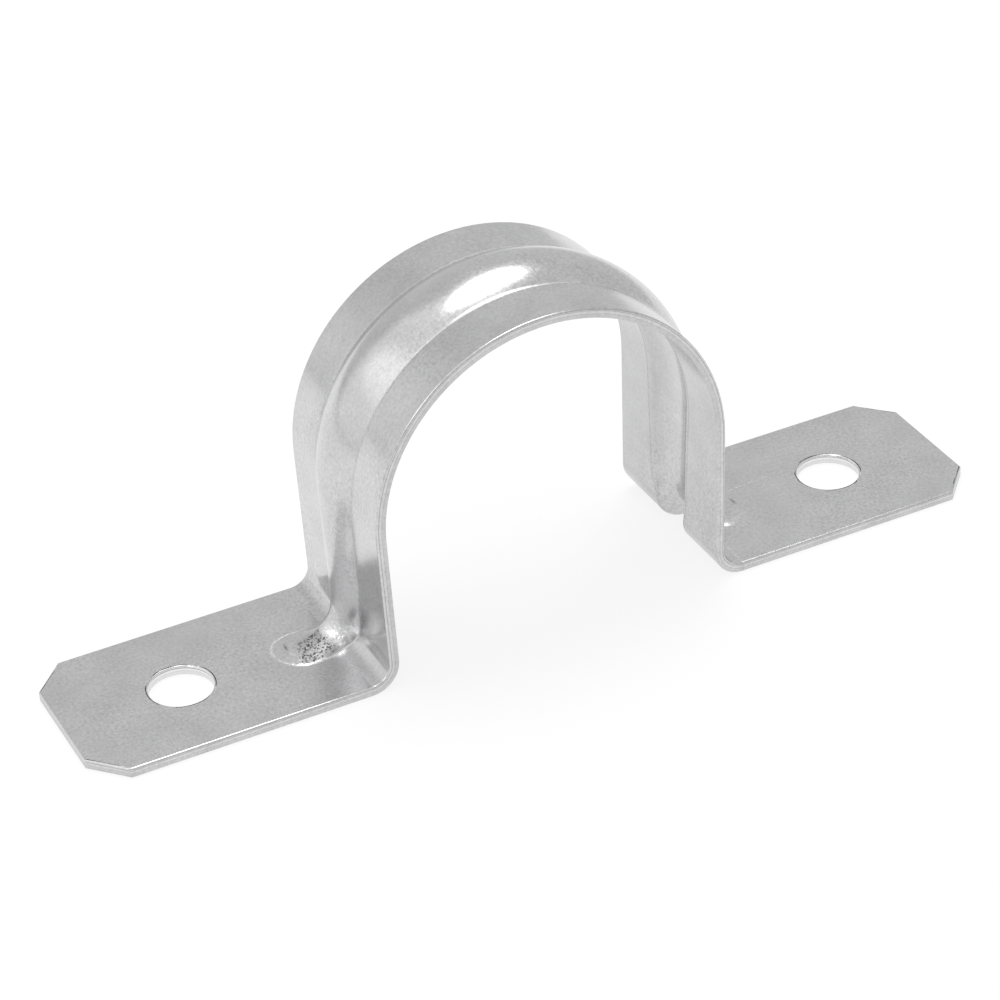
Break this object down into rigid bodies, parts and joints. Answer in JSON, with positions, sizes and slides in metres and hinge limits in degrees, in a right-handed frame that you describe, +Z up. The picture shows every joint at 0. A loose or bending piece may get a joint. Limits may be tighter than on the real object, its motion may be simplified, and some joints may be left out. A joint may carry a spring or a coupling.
{
  "type": "conduit strap",
  "caption": "Two-hole strap in ribbed sheet steel that arches over a round conduit and screws flat to a wall.",
  "frame": {"origin": "middle of the mounting face, under the arch and midway between the screw holes", "axes": "+X runs along the strap from one screw hole to the other, +Y along the conduit, +Z up from the mounting face through the crown of the arch"},
  "size_m": [0.1058, 0.0212, 0.0404],
  "materials": {
    "zinc": "bright zinc plating on pressed sheet steel, satin, faintly mottled"
  },
  "bodies": {
    "root": {"strap": "zinc"}
  },
  "joints": []
}
